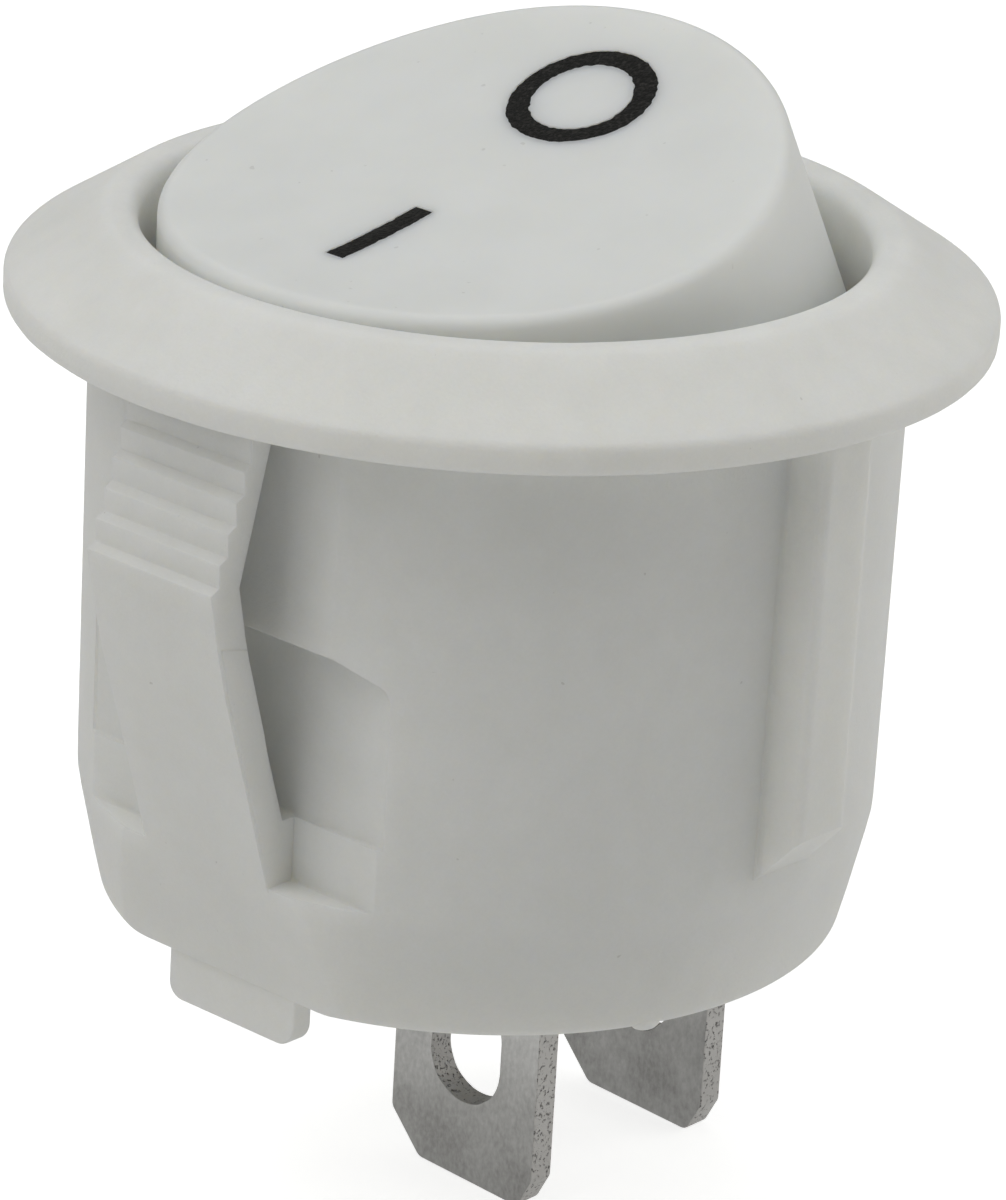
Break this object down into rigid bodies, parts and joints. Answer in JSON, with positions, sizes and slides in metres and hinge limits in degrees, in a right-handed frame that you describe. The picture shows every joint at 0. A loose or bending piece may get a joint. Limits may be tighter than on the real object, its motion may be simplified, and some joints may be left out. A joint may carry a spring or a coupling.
{
  "type": "panel rocker switch",
  "caption": "Round snap-in panel rocker switch: white bezel and barrel with stepped side latches, concave tilting rocker marked I and O, lever contact inside and flat blade terminals.",
  "frame": {"origin": "on the barrel axis, in the plane of the bezel's underside, where the face of the panel lies", "axes": "+Z out of the front of the panel, +X towards the O end of the rocker, Y along the rocker's axle; the key rib is on the -Y side"},
  "size_m": [0.023, 0.023, 0.0285],
  "materials": {
    "housing": "fine matt moulded nylon, off-white",
    "rocker": "satin moulded, off-white",
    "mark_paint": "black paint in an engraved recess",
    "plunger": "smooth natural acetal",
    "spring": "drawn wire",
    "lever": "bent strip",
    "contact": "silver rivet, dull",
    "terminal": "dull tinned sheet metal with sheared edges"
  },
  "bodies": {
    "housing": {"housing": "housing", "common_terminal": "terminal", "end_terminal": "terminal", "fixed_contact": "contact"},
    "rocker": {"rocker": "rocker", "off_mark": "mark_paint", "on_mark": "mark_paint", "plunger_spring": "spring"},
    "plunger": {"plunger": "plunger"},
    "lever": {"lever": "lever", "moving_contact": "contact"}
  },
  "joints": [
    {"name": "rocker_hinge", "type": "hinge", "parent": "housing", "child": "rocker", "pos_m": [0, 0, -0.00097], "axis": [0, 1, 0], "range_deg": [0, 31]},
    {"name": "plunger_slide", "type": "slide", "parent": "rocker", "child": "plunger", "axis": [-0.2672, 0, 0.9636], "range_m": [0, 0.0008], "stiffness_N_per_m": 400, "springref_m": -0.0008, "deforming": ["plunger_spring"]},
    {"name": "lever_pivot", "type": "hinge", "parent": "housing", "child": "lever", "pos_m": [0, 0, -0.00935], "axis": [0, 1, 0], "range_deg": [-12, 0]}
  ],
  "couplings": [
    {"joint": "lever_pivot", "follows": "rocker_hinge", "ratio": -0.3871}
  ]
}
